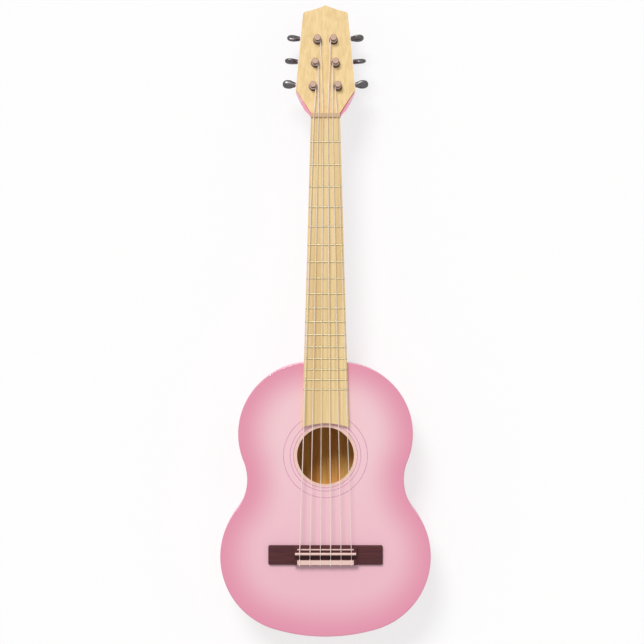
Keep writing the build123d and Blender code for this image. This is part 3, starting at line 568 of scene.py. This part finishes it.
def toward(start, end, distance):
    """The point at a distance from start on the way to end."""
    return start + (end - start) / np.linalg.norm(end - start) * distance


flare_foot = np.array([FLARE_HALF, FLARE_LENGTH])
peak = np.array([0.0, HEAD_LENGTH])
before, after = toward(SHOULDER, WIDEST, CORNER_REACH), toward(SHOULDER, peak, CORNER_REACH)
half_head = np.concatenate([
    curve(np.array([0.0, FLARE_LENGTH]), flare_foot - [FLARE_HALF / 2, 0], flare_foot, 6),
    curve(flare_foot, (flare_foot + WIDEST) / 2 + FLARE_BOW, WIDEST, 8),
    curve(WIDEST, (WIDEST + before) / 2, before, 20),
    curve(before, SHOULDER, after, 7),
    curve(after, (after + peak) / 2 - [0, PEAK_HOLLOW], peak, 14),
    peak[None],
])
head_edge = np.concatenate([half_head, half_head[-2:0:-1] * [-1, 1]])
ahead = np.roll(head_edge, -1, axis=0) - np.roll(head_edge, 1, axis=0)
inward = np.stack([-ahead[:, 1], ahead[:, 0]], axis=-1) / np.linalg.norm(ahead, axis=1, keepdims=True)
head_middle = np.array([[0.0, 75.0 * mm]]) + head_edge * 0


def on_head(flat, height):
    """Turns points on the head's plane, at a height above it, into places in the model."""
    start = np.array([0, HEAD_Y, BODY_DEPTH]) + HEAD_OUT * height
    return start + flat[:, :1] * [1, 0, 0] + flat[:, 1:] * HEAD_ALONG


head_rows = [on_head(head_middle, 0.0), on_head(head_edge, 0.0)]
head_rows += [on_head(head_edge, -height) for height in np.linspace(0, CORE - CHAMFER, 5)[1:]]
head_rows += [on_head(head_edge + inward * CHAMFER, -CORE), on_head(head_middle, -CORE)]
make_piece(
    "head_core", np.stack(head_rows), [pink_lacquer], "root", ["neck"], wrap=(False, True)
)

# %% [markdown]
# ## Tuning buttons
# A button is a round hub that swells into a flattened oval key, all one moulding. Each has its
# own shaft and its own turn, so the shape is one function of the distance along the shaft, set
# on the axis that the model's joint gives.

# %% Keys on the machine shafts
HUB_START, HUB_RADIUS, HUB_LENGTH = 21.85 * mm, 3.0 * mm, 3.0 * mm
WIDEST_SHARE, TIP_LENGTH, FOOT_ROUND = 0.5, 6.5 * mm, 0.6 * mm
KEY_LENGTH, KEY_WIDTH, KEY_THICKNESS = 13.0 * mm, 10.5 * mm, 6.0 * mm
REST_TURNS = (35.0, 118.0, 62.0, 150.0, 80.0, 15.0)


def key_grid(center, axis, thick, wide):
    """Ellipses across the shaft: half size = (hub + (oval - hub) * swell) * round end.

    swell is an S from 0 at the hub to 1 where the key is widest, and the round end is a
    superellipse in the distance left to the tip, so the key is a drop with its hub as the neck.
    """
    step = (1 - np.cos(np.linspace(0, math.pi, 60))) / 2
    end = HUB_START + HUB_LENGTH + KEY_LENGTH
    station = HUB_START + (end - HUB_START) * step
    t = np.clip((station - HUB_START) / (end - HUB_START) / WIDEST_SHARE, 0, 1)
    swell = t * t * (3 - 2 * t)
    beyond = np.clip((station - end + TIP_LENGTH) / TIP_LENGTH, 0, 1)
    tip = (1 - beyond**2.3) ** (1 / 2.3)
    foot = np.clip((station - HUB_START) / FOOT_ROUND, 0, 1)
    foot = np.sqrt(1 - (1 - foot) ** 2)
    half_wide = (HUB_RADIUS + (KEY_WIDTH / 2 - HUB_RADIUS) * swell) * tip * foot
    half_thick = (HUB_RADIUS + (KEY_THICKNESS / 2 - HUB_RADIUS) * swell) * tip * foot
    angle = np.linspace(0, 2 * math.pi, 49)[:-1]
    ring = half_wide[:, None, None] * np.cos(angle)[:, None] * wide
    ring = ring + half_thick[:, None, None] * np.sin(angle)[:, None] * thick
    return center + station[:, None, None] * axis + ring


for number, rest_turn in zip(range(1, 7), REST_TURNS):
    side_sign = 1 if number <= 3 else -1
    joint = joints[f"button_{number}_turn"]
    axis = np.array(joint["axis"])
    out_of_head = np.array(joints[f"post_{number}_turn"]["axis"])
    along_edge = np.cross(out_of_head, axis) * side_sign
    angle = math.radians(rest_turn)
    thick = math.cos(angle) * out_of_head - math.sin(angle) * along_edge
    wide = -math.sin(angle) * out_of_head - math.cos(angle) * along_edge
    make_piece(
        f"button_key_{number}", key_grid(np.array(joint["pos_m"]), axis, thick, wide), [dark_chrome],
        f"tuner_{number}_button", [f"button_{number}"], wrap=(False, True),
    )

# %% [markdown]
# ## Finishes on the kept pieces
# The turned, cut and wound pieces already have their true shape. They only need a finish, which
# goes into the material slots that their objects have.

# %% Give each kept node its finish
numbered = range(1, 7)
finish_of = {
    head_wood: ["headstock_face"],
    board_wood: ["fretboard"],
    rosewood: ["bridge"],
    ring_wood: ["rosette_band"],
    ring_line: ["rosette_lines"],
    nut_plastic: ["nut"],
    cream_plastic: ["saddle", "bridge_strips"],
    fret_wire: ["frets"],
    tuner_steel: ["tuner_plate_treble", "tuner_plate_bass", "plate_screws"]
    + [f"worm_shaft_{number}" for number in numbered],
    bushing_painted_shade: ["post_bushings"],
    post_steel: [f"post_{number}" for number in numbered],
    gear_brass: [f"gear_{number}" for number in numbered],
    clear_nylon: [f"string_{number}" for number in numbered],
    raw_wood: [
        "neck_block", "tail_block", "top_linings", "back_linings", "upper_top_brace", "lower_top_brace",
        "fan_braces", "bridge_patch", "upper_back_brace", "middle_back_brace", "lower_back_brace",
    ],
}
for finish, names in finish_of.items():
    for name in names:
        node = frame["nodes"][name]
        if not node.material_slots:
            node.data.materials.append(finish.material)
        for material_slot in node.material_slots:
            material_slot.material = finish.material
print(sum(len(names) for names in finish_of.values()), "kept nodes have a finish")

# %% [markdown]
# ## Floor, light and camera
# The guitar lies on its back on a white table, seen from straight above with a long lens. A
# white sky fills the shadows, and one broad lamp beyond the head gives each raised edge its
# soft shadow. The light adds up to one, so a colour comes out as it is written.

# %% Table
TABLE_SIZE, TABLE_DROP, GLOW_SHARE = 30.0, 0.0003, 0.7
corners = np.array([[-1, -1], [1, -1], [1, 1], [-1, 1]]) * TABLE_SIZE / 2
table_mesh = bpy.data.meshes.new("table")
table_mesh.from_pydata(lift(corners, -TABLE_DROP).tolist(), [], [[0, 1, 2, 3]])
table = bpy.data.objects.new("table", table_mesh)
bpy.context.scene.collection.objects.link(table)
table_white = Finish("table_white", base_color=(0.97, 0.97, 0.97, 1), roughness=0.9, specular_ior_level=0.1)
table_mesh.materials.append(table_white.material)
# Seen directly, in a mirror or through glass, the table is partly plain white; the rest keeps its shadow.
seen_by = [
    table_white.node("ShaderNodeLightPath", {}, {}, ray)
    for ray in ("Is Camera Ray", "Is Glossy Ray", "Is Transmission Ray")
]
glow = table_white.node("ShaderNodeEmission", {}, {"Color": (1, 1, 1, 1), "Strength": 1.0})
lit = Link(table_white, table_white.shader.outputs[0])
directly_seen = (seen_by[0] + seen_by[1] + seen_by[2]) * GLOW_SHARE
shown = table_white.node("ShaderNodeMixShader", {}, {0: directly_seen, 1: lit, 2: glow})
table_white.tree.links.new(shown.socket, table_white.tree.nodes["Material Output"].inputs["Surface"])

# %% Sky and lamp
world = bpy.data.worlds.new("studio")
bpy.context.scene.world = world
world.use_nodes = True
tree = world.node_tree
sky = tree.nodes["Background"]
SKY_LEVEL, LAMP_LEVEL = 0.5, 2.0
path = tree.nodes.new("ShaderNodeLightPath")
seen = tree.nodes.new("ShaderNodeMath")
seen.operation = "MAXIMUM"
tree.links.new(path.outputs["Is Camera Ray"], seen.inputs[0])
tree.links.new(path.outputs["Is Glossy Ray"], seen.inputs[1])
seen_or_through = tree.nodes.new("ShaderNodeMath")
seen_or_through.operation = "MAXIMUM"
tree.links.new(seen.outputs[0], seen_or_through.inputs[0])
tree.links.new(path.outputs["Is Transmission Ray"], seen_or_through.inputs[1])
level = tree.nodes.new("ShaderNodeMapRange")
level.inputs["To Min"].default_value = SKY_LEVEL
level.inputs["To Max"].default_value = 1.0
tree.links.new(seen_or_through.outputs[0], level.inputs["Value"])
sky.inputs["Color"].default_value = (1, 1, 1, 1)
tree.links.new(level.outputs["Result"], sky.inputs["Strength"])

lamp_data = bpy.data.lights.new("window", "SUN")
lamp_data.energy = LAMP_LEVEL
lamp_data.angle = math.radians(22)
lamp = bpy.data.objects.new("window", lamp_data)
lamp.rotation_euler = (math.radians(-36), math.radians(-17), 0)
bpy.context.scene.collection.objects.link(lamp)

# %% Camera
VIEW_WIDTH, CAMERA_DISTANCE, SENSOR = 0.774, 2.5, 36.0
camera_data = bpy.data.cameras.new("camera")
camera_data.sensor_width = SENSOR
camera_data.lens = SENSOR * CAMERA_DISTANCE / VIEW_WIDTH
camera = bpy.data.objects.new("camera", camera_data)
camera.location = (-0.0042, 0.1607, BODY_DEPTH + CAMERA_DISTANCE)
bpy.context.scene.collection.objects.link(camera)
bpy.context.scene.camera = camera
bpy.context.scene.view_settings.view_transform = "Standard"
print("camera", round(camera_data.lens, 1), "mm lens")
